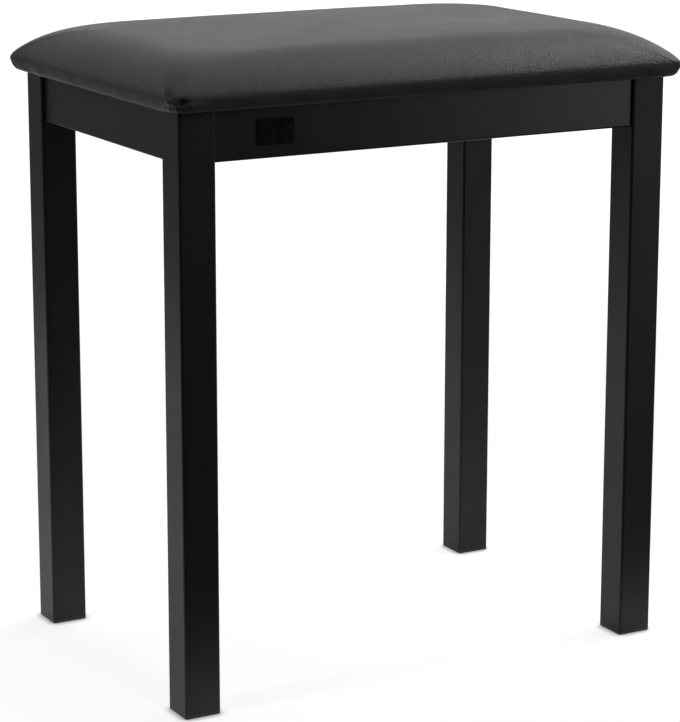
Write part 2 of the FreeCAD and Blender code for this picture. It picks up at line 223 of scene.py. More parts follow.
@dataclass(frozen=True)
class CoatPeel(Effect):
    """Sprayed-coat skin: soft orange-peel swells with a finer dry grain on them."""

    scale: float
    fine: float

    def results(self, graph: Graph, given: Sockets) -> dict[str, Output]:
        """Adds two noises, the finer one by its share.

        Args:
            graph: the group's graph.
            given: the group's inputs.

        Returns:
            The height.
        """
        swell = graph.noise(given["Vector"], given["Scale"], 1.0)["Fac"]
        grain = graph.noise(given["Vector"], graph.times(given["Scale"], 4.3), 2.0)["Fac"]
        return {"Height": graph.math("ADD", swell, graph.times(grain, given["Fine"]))}


@dataclass(frozen=True)
class HidePebble(Effect):
    """Embossed hide: small rounded cells with fine creases between them, stretched a little unevenly."""

    scale: float
    crease: float

    def results(self, graph: Graph, given: Sockets) -> dict[str, Output]:
        """Domes the distance from the edges of cells whose places a noise moves by up to a millimetre.

        Args:
            graph: the group's graph.
            given: the group's inputs.

        Returns:
            The height, and the valley mask that is its opposite.
        """
        warp = graph.noise(given["Vector"], 260.0, 2.0)["Color"]
        centred = graph.vector("SUBTRACT", {0: warp, 1: (0.5, 0.5, 0.5)})["Vector"]
        moved = graph.vector("SCALE", {0: centred, "Scale": 1.1 * MILLI})["Vector"]
        uneven = graph.vector("ADD", {0: given["Vector"], 1: moved})["Vector"]
        inputs = {"Vector": uneven, "Scale": given["Scale"]}
        cells = graph.node("ShaderNodeTexVoronoi", inputs, feature="DISTANCE_TO_EDGE").outputs
        dome = graph.math("POWER", graph.span(cells["Distance"], (0.0, 0.32)), given["Crease"])
        return {"Height": dome, "Valley": graph.math("SUBTRACT", 1.0, dome, True)}


@dataclass(frozen=True)
class HandlingMarks(Effect):
    """Patchy mask of handling, polish and faint dust: clouds cut off softly between two values."""

    scale: float
    low: float
    high: float

    def results(self, graph: Graph, given: Sockets) -> dict[str, Output]:
        """Cuts a cloudy noise off between the two values.

        Args:
            graph: the group's graph.
            given: the group's inputs.

        Returns:
            The mask.
        """
        cloud = graph.noise(given["Vector"], given["Scale"], 5.0, Roughness=0.62)["Fac"]
        return {"Mask": graph.span(cloud, (given["Low"], given["High"]), smooth=True)}


@dataclass(frozen=True)
class EdgeRub(Effect):
    """Mask of rubbed edges: where a rounded normal turns away from the face's own normal."""

    radius: float

    def results(self, graph: Graph, given: Sockets) -> dict[str, Output]:
        """Compares the two normals and breaks the edge up with a noise.

        Args:
            graph: the group's graph.
            given: the group's inputs.

        Returns:
            The mask.
        """
        rounded = graph.node("ShaderNodeBevel", {"Radius": given["Radius"]}, samples=4).outputs["Normal"]
        face = graph.node("ShaderNodeNewGeometry").outputs["Normal"]
        alike = graph.vector("DOT_PRODUCT", {0: rounded, 1: face})["Value"]
        broken = graph.noise(given["Vector"], 210.0, 3.0)["Fac"]
        return {"Mask": graph.math("MULTIPLY", graph.span(alike, (0.99, 0.72)), broken, True)}


class Look(NamedTuple):
    """What the nodes of a finish give its shader."""

    colour: Output
    rough: Output
    height: Output


@dataclass(frozen=True)
class Finish:
    """A finish that can dress a piece.

    Rough holds the roughness where its mask is 0 and where it is 1. Relief holds how much of the fine
    relief shows, and its depth.
    """

    name: str = "plain"
    rough: Span = (0.5, 0.5)
    relief: Span = (0.0, MILLI)
    specular: float = 0.5
    metallic: float = 0.0

    def look(self, graph: Surface) -> Look:
        """Builds the nodes that feed the shader; each kind of finish has its own.

        Args:
            graph: the material's graph.

        Returns:
            What the shader gets.
        """
        raise NotImplementedError

    def material(self) -> bpy.types.Material:
        """Makes the finish's material, or gives it back if it was made before.

        Returns:
            The material.
        """
        found = bpy.data.materials.get(self.name)
        if found:
            return found
        graph = Surface(self.name)
        look = self.look(graph)
        bump = {"Strength": self.relief[0], "Distance": self.relief[1], "Height": look.height}
        inputs = {
            "Base Color": look.colour,
            "Roughness": look.rough,
            "Normal": graph.node("ShaderNodeBump", bump).outputs["Normal"],
            "Specular IOR Level": self.specular,
            "Metallic": self.metallic,
        }
        return graph.end(graph.node("ShaderNodeBsdfPrincipled", inputs))

    def dress(self, piece: bpy.types.Object) -> None:
        """Gives a piece this finish all over."""
        piece.data.materials.clear()
        piece.data.materials.append(self.material())


@dataclass(frozen=True)
class PowderCoat(Finish):
    """Matte black powder coat: dry orange-peel skin, patchy gloss and edges rubbed a little smoother."""

    name: str = "powder_coat"
    rough: Span = (0.47, 0.42)
    relief: Span = (0.22, 0.12 * MILLI)
    specular: float = 0.4
    colour: Colour = (0.0055, 0.0055, 0.0057)
    rubbed: Colour = (0.014, 0.014, 0.0145)
    peel: CoatPeel = CoatPeel(scale=900.0, fine=0.6)
    marks: HandlingMarks = HandlingMarks(scale=13.0, low=0.35, high=0.68)
    mark_share: float = 0.1
    edge: EdgeRub = EdgeRub(radius=1.1 * MILLI)
    edge_share: float = 0.5
    edge_polish: float = 0.08

    def look(self, graph: Surface) -> Look:
        """Builds the coat's nodes.

        Args:
            graph: the material's graph.

        Returns:
            What the shader gets.
        """
        marks, rub = self.marks.place(graph)["Mask"], self.edge.place(graph)["Mask"]
        patchy = graph.blend(graph.times(marks, self.mark_share), self.colour, self.rubbed)
        edged = graph.blend(graph.times(rub, self.edge_share), patchy, self.rubbed)
        gloss = graph.span(marks, wanted=self.rough)
        rough = graph.math("SUBTRACT", gloss, graph.times(rub, self.edge_polish))
        return Look(edged, rough, self.peel.place(graph)["Height"])


@dataclass(frozen=True)
class MouldedPlastic(Finish):
    """Moulded black plastic: stippled, with scuffs that turn it grey where it is rubbed."""

    name: str = "moulded_plastic"
    rough: Span = (0.48, 0.66)
    relief: Span = (0.3, 0.1 * MILLI)
    colour: Colour = (0.012, 0.012, 0.012)
    scuffed: Colour = (0.045, 0.045, 0.046)
    peel: CoatPeel = CoatPeel(scale=1600.0, fine=0.9)
    marks: HandlingMarks = HandlingMarks(scale=70.0, low=0.45, high=0.75)
    mark_share: float = 0.4
    edge: EdgeRub = EdgeRub(radius=0.9 * MILLI)

    def look(self, graph: Surface) -> Look:
        """Builds the plastic's nodes.

        Args:
            graph: the material's graph.

        Returns:
            What the shader gets.
        """
        scuffs = graph.times(self.marks.place(graph)["Mask"], self.mark_share)
        worn = graph.math("MAXIMUM", scuffs, self.edge.place(graph)["Mask"])
        colour = graph.blend(worn, self.colour, self.scuffed)
        return Look(colour, graph.span(worn, wanted=self.rough), self.peel.place(graph)["Height"])


@dataclass(frozen=True)
class ZincPlate(Finish):
    """Bright zinc plate: brushed in level lines, spotted dull where it has aged."""

    name: str = "zinc_plate"
    rough: Span = (0.24, 0.46)
    relief: Span = (0.15, 0.05 * MILLI)
    metallic: float = 1.0
    bright: Colour = (0.56, 0.57, 0.58)
    dull: Colour = (0.33, 0.33, 0.34)
    marks: HandlingMarks = HandlingMarks(scale=240.0, low=0.4, high=0.72)
    brush_scale: Place = (300.0, 300.0, 4200.0)

    def look(self, graph: Surface) -> Look:
        """Builds the plate's nodes.

        Args:
            graph: the material's graph.

        Returns:
            What the shader gets.
        """
        marks = self.marks.place(graph)["Mask"]
        lines = graph.node("ShaderNodeMapping", {"Vector": graph.place, "Scale": self.brush_scale})
        brushed = graph.noise(lines.outputs[0], 1.0, 2.0)["Fac"]
        colour = graph.blend(marks, self.bright, self.dull)
        return Look(colour, graph.span(marks, wanted=self.rough), brushed)


@dataclass(frozen=True)
class Plywood(Finish):
    """Sanded plywood: long figure along X on its faces and thin plies one over another at its edges."""

    name: str = "plywood"
    rough: Span = (0.62, 0.78)
    relief: Span = (0.2, 0.15 * MILLI)
    pale: Colour = (0.60, 0.43, 0.26)
    dark: Colour = (0.38, 0.24, 0.13)
    figure_scale: Span = (6.0, 90.0)
    figure_span: Span = (0.35, 0.68)
    ply: float = 1.7 * MILLI
    marks: HandlingMarks = HandlingMarks(scale=9.0, low=0.3, high=0.7)

    def look(self, graph: Surface) -> Look:
        """Builds the wood's nodes.

        Args:
            graph: the material's graph.

        Returns:
            What the shader gets.
        """
        scale = (*self.figure_scale, 1.0 / self.ply)
        lines = graph.node("ShaderNodeMapping", {"Vector": graph.place, "Scale": scale})
        figure = graph.noise(lines.outputs[0], 1.0, 6.0, Distortion=0.6)["Fac"]
        colour = graph.blend(graph.span(figure, self.figure_span), self.pale, self.dark)
        return Look(colour, graph.span(self.marks.place(graph)["Mask"], wanted=self.rough), figure)


@dataclass(frozen=True)
class ImitationLeather(Finish):
    """Black imitation leather: embossed pebble grain, creases a shade darker and drier, polished patches."""

    name: str = "imitation_leather"
    rough: Span = (0.40, 0.44)
    relief: Span = (0.7, 0.24 * MILLI)
    colour: Colour = (0.013, 0.013, 0.0134)
    crease: Colour = (0.006, 0.006, 0.006)
    hide: HidePebble = HidePebble(scale=620.0, crease=0.7)
    marks: HandlingMarks = HandlingMarks(scale=16.0, low=0.3, high=0.72)
    crease_share: float = 0.8
    crease_dry: float = 0.12

    def look(self, graph: Surface) -> Look:
        """Builds the leather's nodes.

        Args:
            graph: the material's graph.

        Returns:
            What the shader gets.
        """
        hide = self.hide.place(graph)
        colour = graph.blend(graph.times(hide["Valley"], self.crease_share), self.colour, self.crease)
        gloss = graph.span(self.marks.place(graph)["Mask"], wanted=self.rough)
        rough = graph.math("ADD", gloss, graph.times(hide["Valley"], self.crease_dry), True)
        return Look(colour, rough, hide["Height"])


@dataclass(frozen=True)
class NonWoven(Finish):
    """Black non-woven cloth: felted fibres pressed in a regular field of small points."""

    name: str = "non_woven"
    rough: Span = (0.78, 0.95)
    relief: Span = (0.5, 0.25 * MILLI)
    colour: Colour = (0.016, 0.016, 0.017)
    fibre: Colour = (0.045, 0.045, 0.047)
    fibre_scale: float = 1500.0
    fibre_share: float = 0.6
    fibre_span: Span = (0.3, 0.7)
    point_pitch: float = 2.4 * MILLI
    point_span: Span = (0.16, 0.3)
    point_scatter: float = 0.08

    def look(self, graph: Surface) -> Look:
        """Builds the cloth's nodes.

        Args:
            graph: the material's graph.

        Returns:
            What the shader gets.
        """
        fibres = graph.noise(graph.place, self.fibre_scale, 4.0, Distortion=1.4)["Fac"]
        inputs = {"Vector": graph.place, "Scale": 1.0 / self.point_pitch, "Randomness": self.point_scatter}
        points = graph.node("ShaderNodeTexVoronoi", inputs, feature="F1").outputs
        pressed = graph.span(points["Distance"], self.point_span)
        height = graph.times(pressed, graph.math("ADD", fibres, 0.5))
        colour = graph.blend(graph.times(height, self.fibre_share), self.colour, self.fibre)
        return Look(colour, graph.span(fibres, self.fibre_span, self.rough), height)


@dataclass(frozen=True)
class GlossBadge(PowderCoat):
    """Gloss black badge with nothing on it: the coat's skin as a fine pooled lacquer with a rubbed edge."""

    name: str = "gloss_badge"
    rough: Span = (0.20, 0.30)
    relief: Span = (0.1, 0.05 * MILLI)
    specular: float = 0.3
    colour: Colour = (0.0052, 0.0052, 0.0052)
    rubbed: Colour = (0.03, 0.03, 0.031)
    peel: CoatPeel = CoatPeel(scale=420.0, fine=0.2)
    marks: HandlingMarks = HandlingMarks(scale=160.0, low=0.4, high=0.7)
    mark_share: float = 0.0
    edge: EdgeRub = EdgeRub(radius=0.5 * MILLI)
    edge_share: float = 1.0
    edge_polish: float = 0.0


def mesh_piece(name: str, points: np.ndarray, faces: np.ndarray, smooth: bool = True) -> bpy.types.Object:
    """Makes a mesh object at the origin.

    Args:
        name: the piece's name.
        points: vertex places, one row each.
        faces: vertex numbers of four-cornered faces, one row each.
        smooth: whether the faces shade as one surface.

    Returns:
        The new object, linked to the scene.
    """
    mesh = bpy.data.meshes.new(name)
    mesh.from_pydata(points.tolist(), [], faces.tolist())
    mesh.polygons.foreach_set("use_smooth", np.full(len(faces), smooth))
    mesh.update()
    piece = bpy.data.objects.new(name, mesh)
    bpy.context.scene.collection.objects.link(piece)
    return piece


def running_mean(values: np.ndarray, width: float, step: float) -> np.ndarray:
    """Rounds a line of values, spaced step apart, with a bell-shaped running mean of the given width.

    Args:
        values: one row per point.
        width: the bell's standard deviation, in the step's unit.
        step: the spacing of the points.

    Returns:
        The rounded values, with both ends held.
    """
    reach = max(1, int(4 * width / step))
    offsets = np.arange(-reach, reach + 1) * step
    weights = np.exp(-0.5 * (offsets / width) ** 2)
    weights /= weights.sum()
    padded = np.pad(values, ((reach, reach), (0, 0)), mode="reflect", reflect_type="odd")
    return np.stack([np.convolve(column, weights, mode="valid") for column in padded.T], axis=1)


def even_line(points: np.ndarray, step: float) -> np.ndarray:
    """Spaces a line's points evenly.

    Args:
        points: the line, one row per point.
        step: about how far apart they are to be.

    Returns:
        The new points.
    """
    run = np.concatenate([[0.0], np.cumsum(np.linalg.norm(np.diff(points, axis=0), axis=1))])
    target = np.linspace(0.0, run[-1], max(2, int(run[-1] / step) + 1))
    return np.stack([np.interp(target, run, column) for column in points.T], axis=1)


def smooth_step(value: np.ndarray, low: float, high: float) -> np.ndarray:
    """Rises from 0 at low to 1 at high with level ends."""
    share = np.clip((value - low) / (high - low), 0.0, 1.0)
    return share * share * (3.0 - 2.0 * share)


def bell(value: np.ndarray, middle: float | np.ndarray, width: float | np.ndarray) -> np.ndarray:
    """Bell curve of height 1 about middle."""
    return np.exp(-(((value - middle) / width) ** 2))


def nearby_mean(fine: np.ndarray, coarse: np.ndarray, values: np.ndarray, width: float) -> np.ndarray:
    """Carries values known at coarse places to fine places, as means weighted by a bell of the distance.

    Args:
        fine: places to carry to, by row and column.
        coarse: places where values are known, one row each.
        values: the known values, one row each.
        width: the bell's standard deviation.

    Returns:
        The carried values by row and column.
    """
    far = (coarse**2).sum(axis=1)[None, :]
    carried = np.empty_like(fine)
    for row, places in enumerate(fine):
        apart = (places**2).sum(axis=1)[:, None] + far - 2.0 * places @ coarse.T
        share = np.exp(-0.5 * apart / width**2)
        carried[row] = (share @ values) / share.sum(axis=1, keepdims=True)
    return carried


@dataclass(frozen=True)
class Grid:
    """Columns of the seat's surface, whose rows are level rounded rectangles.

    The column place counts 0 to 4 round the seat: a corner takes the first half of each count and the side
    after it the rest. Along a side the columns crowd towards its ends, by a share of a cosine.
    """

    corner_count: int
    side_count: int
    crowding: float = 0.85

    def columns(self) -> tuple[np.ndarray, np.ndarray, np.ndarray]:
        """Works out the columns, from the middle of the right side round by the rear.

        Returns:
            The corner of each column, and its shares of the corner's turn and of the side after it.
        """
        bend = np.linspace(0.0, 0.5, self.corner_count)
        share = np.arange(1, self.side_count + 1) / (self.side_count + 1)
        crowded = 0.5 - 0.5 * np.cos(math.pi * share)
        side = 0.5 + 0.5 * crowded * self.crowding + 0.5 * share * (1.0 - self.crowding)
        turn = np.concatenate([bend, side])
        places = np.roll(np.concatenate([turn + corner for corner in range(4)]), self.side_count // 2)
        corner = np.floor(places).astype(int)
        doubled = (places - corner) / 0.5
        return corner, np.clip(doubled, 0.0, 1.0), np.clip(doubled - 1.0, 0.0, 1.0)

    def outlines(self, half_x: np.ndarray, half_y: np.ndarray, radius: np.ndarray) -> np.ndarray:
        """Works out the outline of every row.

        A corner place is the corner's centre plus the radius times the cosine and sine of its turn, and a
        side place lies straight between the ends of its two corners.

        Args:
            half_x: half length of each row.
            half_y: half depth of each row.
            radius: corner radius of each row.

        Returns:
            X and Y by row and column.
        """
        corner, bend, side = self.columns()
        ends = np.stack([corner, (corner + 1) % 4])[:, None, :]
        angle = (ends + np.stack([bend, 0.0 * bend])[:, None, :]) * math.pi / 2
        inner_x, inner_y, bow = ((half_x - radius)[:, None], (half_y - radius)[:, None], radius[:, None])
        x = np.array([1, -1, -1, 1])[ends] * inner_x + bow * np.cos(angle)
        y = np.array([1, 1, -1, -1])[ends] * inner_y + bow * np.sin(angle)
        bent, follow = np.stack([x, y], axis=-1)
        along = side[None, :, None]
        return bent * (1.0 - along) + follow * along

    def lengths(self, half_x: float, half_y: float, radius: float) -> tuple[np.ndarray, np.ndarray, float]:
        """Works out how far round one outline each column lies.

        Args:
            half_x: the outline's half length.
            half_y: its half depth.
            radius: its corner radius.

        Returns:
            Distance of each column from the first corner's start, distance of each corner's middle,
            and the total.
        """
        corner, bend, side = self.columns()
        arc = radius * math.pi / 2
        sides = np.tile([2.0 * (half_x - radius), 2.0 * (half_y - radius)], 2)
        starts = np.concatenate([[0.0], np.cumsum(arc + sides)])
        return starts[corner] + arc * bend + sides[corner] * side, starts[:4] + arc / 2, float(starts[4])

    def faces(self, rows: int) -> np.ndarray:
        """Faces between rows, and strips that close the first and the last row across the seat.

        Args:
            rows: how many rows there are.

        Returns:
            Vertex numbers of the faces.
        """
        columns = 4 * (self.corner_count + self.side_count)
        row, column = np.meshgrid(np.arange(rows - 1), np.arange(columns), indexing="ij")
        after = (column + 1) % columns
        here, below = row * columns, (row + 1) * columns
        walls = np.stack([here + column, below + column, below + after, here + after], axis=-1)
        near = np.arange(columns // 2 - 1)
        cap = np.stack([near, near + 1, columns - 2 - near, columns - 1 - near], axis=-1)
        return np.concatenate([walls.reshape(-1, 4), cap, cap[:, ::-1] + (rows - 1) * columns])


@dataclass
class Rows:
    """Level rows of the seat, from the crown's middle over the nose and under to the board's top."""

    half_x: np.ndarray
    half_y: np.ndarray
    radius: np.ndarray
    height: np.ndarray
    nose: int
    outside: int

    def surface(self, grid: Grid) -> np.ndarray:
        """Works out the whole surface.

        Args:
            grid: its columns.

        Returns:
            Places by row and column.
        """
        flat = grid.outlines(self.half_x, self.half_y, self.radius)
        height = np.broadcast_to(self.height[:, None, None], (*flat.shape[:2], 1))
        return np.concatenate([flat, height], axis=2)

    def over_nose(self) -> np.ndarray:
        """Height of each row over the nose."""
        return self.height - self.height[self.nose]


@dataclass(frozen=True)
class Stretch:
    """How the cover's cloth settles, blown up a little from inside."""

    quality: int = 6
    mass: float = 0.4
    tension: float = 80.0
    shear: float = 40.0
    bending: float = 4.0
    pressure: float = 0.3
    frames: int = 20
    slack: float = 0.3 * MILLI
    largest: float = 3.0 * MILLI

    def settle(self, piece: bpy.types.Object, held: np.ndarray) -> np.ndarray:
        """Runs the cloth simulation on a piece and removes the piece.

        Args:
            piece: the cover's cloth.
            held: numbers of the vertices that stay where they are.

        Returns:
            The settled places, one row each.
        """
        piece.vertex_groups.new(name="held").add(held.tolist(), 1.0, "REPLACE")
        cloth = piece.modifiers.new("settle", "CLOTH")
        settings = cloth.settings
        settings.vertex_group_mass = "held"
        settings.quality = self.quality
        settings.mass = self.mass
        settings.tension_stiffness = self.tension
        settings.compression_stiffness = self.tension
        settings.shear_stiffness = self.shear
        settings.bending_stiffness = self.bending
        settings.use_pressure = True
        settings.uniform_pressure_force = self.pressure
        settings.effector_weights.gravity = 0.0
        cloth.collision_settings.use_collision = False
        cloth.point_cache.frame_start = 1
        cloth.point_cache.frame_end = self.frames
        for step in range(1, self.frames + 1):
            bpy.context.scene.frame_set(step)
        settled = piece.evaluated_get(bpy.context.evaluated_depsgraph_get())
        places = np.empty(len(settled.data.vertices) * 3)
        settled.data.vertices.foreach_get("co", places)
        bpy.context.scene.frame_set(1)
        mesh = piece.data
        bpy.data.objects.remove(piece)
        bpy.data.meshes.remove(mesh)
        return places.reshape(-1, 3)


@dataclass(frozen=True)
class Swelling:
    """A swelling near a corner, or a dent if its height is below zero, in millimetres.

    It is the product of two bells, one along the nose and one across it, which leans with the distance along.
    """

    height: float
    along: float
    along_spread: float
    across: float
    across_spread: float
    lean: float = 0.0

    def shape(self, along: np.ndarray, across: np.ndarray) -> np.ndarray:
        """Height of the swelling at distances along and across the nose."""
        crossing = bell(across - self.lean * along, self.across, self.across_spread)
        return self.height * bell(along, self.along, self.along_spread) * crossing


@dataclass(frozen=True)
class Pleat:
    """One small fold in the band near a corner, a bell about a slanted line, in millimetres."""

    start: float
    lean: float
    width: float
    height: float

    def shape(self, along: np.ndarray, drop: np.ndarray) -> np.ndarray:
        """Height of the pleat at distances along the nose and down from it."""
        return self.height * bell(along - self.start - self.lean * drop, 0.0, self.width)


@dataclass(frozen=True)
class Wave:
    """A ripple of the band: its height in millimetres, how many go round the seat, and its phase."""

    height: float
    count: int
    phase: float

    def shape(self, turn: np.ndarray) -> np.ndarray:
        """Height of the ripple at angles round the seat."""
        return self.height * np.sin(turn * self.count + self.phase)


@dataclass(frozen=True)
class CornerFolds:
    """Folds where the cover is gathered at a corner, in millimetres.

    Distance along is measured round the nose from the corner's middle, positive towards the long side. The
    level runs down from the nose, and the inset runs in from it over the crown. A place or a width that
    changes over the crown is given as its start and its growth for each millimetre of inset.
    """

    swellings: tuple[Swelling, ...] = (
        Swelling(3.0, along=-2.2, along_spread=3.4, across=0.2, across_spread=1.9),
        Swelling(-4.2, along=7.4, along_spread=3.8, across=0.8, across_spread=2.0),
        Swelling(0.9, along=2.0, along_spread=9.0, across=6.6, across_spread=0.9, lean=0.05),
    )
    pleats: tuple[Pleat, ...] = (
        Pleat(start=-7.0, lean=-0.45, width=1.1, height=0.5),
        Pleat(start=-2.5, lean=-0.15, width=0.9, height=0.6),
        Pleat(start=1.0, lean=0.25, width=0.9, height=0.6),
        Pleat(start=12.5, lean=0.8, width=1.4, height=0.45),
        Pleat(start=18.0, lean=1.1, width=1.8, height=0.35),
    )
    puff: Swelling = Swelling(0.7, along=-5.0, along_spread=5.0, across=3.0, across_spread=3.5)
    draw: float = 1.6
    draw_spread: float = 13.0
    draw_span: Span = (1.5, 10.0)
    flap: float = 0.7
    flap_edge: Span = (10.0, 12.0)
    flap_fade: Span = (13.0, 30.0)
    ridge: float = 0.5
    ridge_width: Span = (4.0, 0.28)
    ridge_fade: float = 26.0
    hollow: float = 0.2
    hollow_place: Span = (13.0, 0.5)
    hollow_width: Span = (8.0, 0.25)
    hollow_inset: Span = (14.0, 16.0)

    def outward(self, along: np.ndarray, level: np.ndarray, drop: np.ndarray, band: np.ndarray) -> np.ndarray:
        """Works out how far the folds stand out: the swellings, and on the band a flap's edge and pleats.

        Args:
            along: distance along the nose, by column.
            level: distance down from the nose, by row.
            drop: the same, but zero over the crown.
            band: 1 on the band and 0 elsewhere, by row.

        Returns:
            The distance by row and column.
        """
        out = sum(swelling.shape(along, level) for swelling in self.swellings)
        edge = smooth_step(along, *self.flap_edge) * (1.0 - smooth_step(along, *self.flap_fade))
        return out + (self.flap * edge + sum(pleat.shape(along, drop) for pleat in self.pleats)) * band

    def drawn_in(self, along: np.ndarray, level: np.ndarray) -> np.ndarray:
        """How far the band is drawn in about the corner: a bell along it that grows downwards."""
        return self.draw * bell(along, 0.0, self.draw_spread) * smooth_step(level, *self.draw_span)

    def crowned(self, along: np.ndarray, inset: np.ndarray) -> np.ndarray:
        """Works out how far the crown rises on the corner's ridge, less the hollows on both sides of it.

        Args:
            along: distance along the nose, by column.
            inset: distance in from the nose, by row.

        Returns:
            The rise by row and column.
        """
        pairs = (self.hollow_place, self.hollow_width, self.ridge_width)
        place, width, ridge_width = (start + growth * inset for start, growth in pairs)
        ridge = bell(along, 0.0, ridge_width) * np.exp(-inset / self.ridge_fade)
        hollow = bell(np.abs(along), place, width) * bell(inset, *self.hollow_inset)
        return self.ridge * ridge - self.hollow * hollow


@dataclass
class Seat:
    """Padded seat: a cover stretched over foam, drawn in under its nose and folded at the corners."""

    leather: ImitationLeather = ImitationLeather()
    stretch: Stretch = Stretch()
    corner: CornerFolds = CornerFolds()
    corner_strengths: tuple[float, ...] = (0.5, 0.25, 1.0, 0.3)
    waves: tuple[Wave, ...] = (Wave(0.28, count=29, phase=1.3), Wave(0.22, count=47, phase=0.4))
    wave_bell: Span = (6.0, 4.0)
    band_span: Span = (0.8, 2.6)
    nose_height: float = 10.8 * MILLI
    nose_wall: float = 2.4 * MILLI
    nose_round: float = 1.6 * MILLI
    edge_round: float = 0.8 * MILLI
    foot_tuck: float = 2.4 * MILLI
    bend_share: float = 0.45
    bend_height: float = 1.8 * MILLI
    hem: float = 42.0 * MILLI
    corner_radius: float = 12.0 * MILLI
    radius_share: float = 0.9
    shoulder: float = 52.0 * MILLI
    fullness: float = 2.3
    squareness: float = 1.15
    dome: float = 2.0 * MILLI
    slit: float = 5.0 * MILLI
    board_gap: float = 0.3 * MILLI
    held_height: float = 1.5 * MILLI
    tight_span: Span = (-1.0 * MILLI, 7.0 * MILLI)
    blur: float = 16.0 * MILLI
    line_step: float = 0.1 * MILLI
    crown_points: int = 6000
    crown_spread: float = 0.8
    fine_inset: float = 22.0 * MILLI
    fine_under: float = 1.5 * MILLI
    hem_rows: int = 5
    grid: Grid = Grid(corner_count=46, side_count=84)
    row_counts: tuple[int, int] = (34, 44)
    coarse_grid: Grid = Grid(corner_count=10, side_count=30)
    coarse_counts: tuple[int, int] = (16, 14)

    def __post_init__(self) -> None:
        """Takes the seat's outer sizes from the solids it stands for."""
        low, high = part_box("seat_cover")
        self.half_x, self.half_y = high.x, high.y
        self.bottom, self.top = low.z, high.z
        self.board_low, self.board_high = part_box("seat_board")

    def crown(self, inset: np.ndarray) -> np.ndarray:
        """Works out the crown over the nose: a rounded shoulder on a shallow dome.

        The shoulder is (1 - (1 - inset share) ^ fullness) ^ (1 / squareness), and the dome a parabola.

        Args:
            inset: distances in from the nose.

        Returns:
            The heights there.
        """
        flat = self.top - self.bottom - self.nose_height - self.dome
        share = np.clip(inset / self.shoulder, 0.0, 1.0)
        shoulder = flat * (1.0 - (1.0 - share) ** self.fullness) ** (1.0 / self.squareness)
        return shoulder + self.dome * (1.0 - (1.0 - np.clip(inset / self.half_y, 0.0, 1.0)) ** 2)

    def profile(self, crown_rows: int, edge_rows: int) -> tuple[np.ndarray, int]:
        """Line from the middle of the crown over the nose, down the band and under to the hem's edge.

        The crown's law and the drawn-in band are laid end to end and rounded with running means.

        Args:
            crown_rows: rows from the middle to near the nose.
            edge_rows: rows from there to the hem.

        Returns:
            Inset and height of each row, and the number of the nose's row.
        """
        step = self.line_step
        nose = self.bottom + self.nose_height
        inset = np.linspace(self.half_y - self.slit, 0.0, self.crown_points)
        crown = np.stack([inset, nose + self.crown(inset)], axis=1)
        wall = [0.0, nose - self.nose_wall]
        bend = [self.foot_tuck * self.bend_share, self.bottom + self.bend_height]
        line = even_line(np.concatenate([crown, [wall, bend, [self.foot_tuck, self.bottom]]]), step)
        line = running_mean(line, self.nose_round, step)
        under = np.array([[self.foot_tuck + self.hem, self.bottom]])
        line = even_line(np.concatenate([line, under]), step)
        line = running_mean(line, self.edge_round, step)
        line[:, 0] -= line[:, 0].min()
        line[:, 1] = np.maximum(line[:, 1], self.bottom)
        run = np.arange(len(line)) * step
        fine_from = run[np.argmax(line[:, 0] < self.fine_inset)]
        tip = int(np.argmin(line[:, 0]))
        fine_to = run[tip + np.argmax(line[tip:, 0] > self.foot_tuck + self.fine_under)]
        over = np.linspace(0.0, 1.0, crown_rows) ** self.crown_spread * fine_from
        edge = np.linspace(fine_from, fine_to, edge_rows)[1:]
        hem = np.linspace(fine_to, run[-1], self.hem_rows)[1:]
        stops = np.concatenate([over, edge, hem])
        rows = np.stack([np.interp(stops, run, column) for column in line.T], axis=1)
        return rows, int(np.argmin(rows[:, 0]))

    def rows(self, crown_rows: int, edge_rows: int) -> Rows:
        """Works out all rows: the outer profile, and the inner faces against the board.

        Args:
            crown_rows: rows over the crown.
            edge_rows: rows over the nose and band.

        Returns:
            The rows.
        """
        line, nose = self.profile(crown_rows, edge_rows)
        inset, height = line.T
        grown = np.where(np.arange(len(inset)) < nose, inset, 0.0)
        half_x, half_y = self.half_x - inset, self.half_y - inset
        board_x, board_y = self.board_high.x + self.board_gap, self.board_high.y + self.board_gap
        under, over = self.board_low.z - self.board_gap, self.board_high.z + self.board_gap
        half_x = np.append(half_x, [half_x[-1], board_x, board_x, board_x - board_y + self.slit])
        half_y = np.append(half_y, [half_y[-1], board_y, board_y, self.slit])
        radius = np.minimum(self.corner_radius + np.append(grown, np.zeros(4)), half_y * self.radius_share)
        height = np.append(height, [under, under, over, over])
        return Rows(half_x, half_y, radius, height, nose, outside=len(inset))

    def relaxed(self, rows: Rows, start: np.ndarray) -> np.ndarray:
        """Lets a coarse copy of the cover settle as cloth, held from the band's foot inwards.

        Args:
            rows: the coarse rows.
            start: their places by row and column.

        Returns:
            How far each place outside moved, capped.
        """
        slack = start.copy()
        lift = np.clip(rows.over_nose() / (self.top - rows.height[rows.nose]), 0.0, 1.0)
        slack[..., 2] -= self.stretch.slack * lift[:, None]
        cloth = mesh_piece("cover_cloth", slack.reshape(-1, 3), self.coarse_grid.faces(len(start)))
        after_nose = np.arange(len(start)) > rows.nose
        foot = int(np.argmax(after_nose & (rows.height < self.bottom + self.held_height)))
        held = np.arange(foot * start.shape[1], start.shape[0] * start.shape[1])
        move = (self.stretch.settle(cloth, held).reshape(start.shape) - start)[: rows.outside]
        size = np.linalg.norm(move, axis=2, keepdims=True)
        move *= np.minimum(1.0, self.stretch.largest / np.maximum(size, 1e-9))
        LOG.info("cover settled: largest move %.1f mm", np.linalg.norm(move, axis=2).max() / MILLI)
        return move

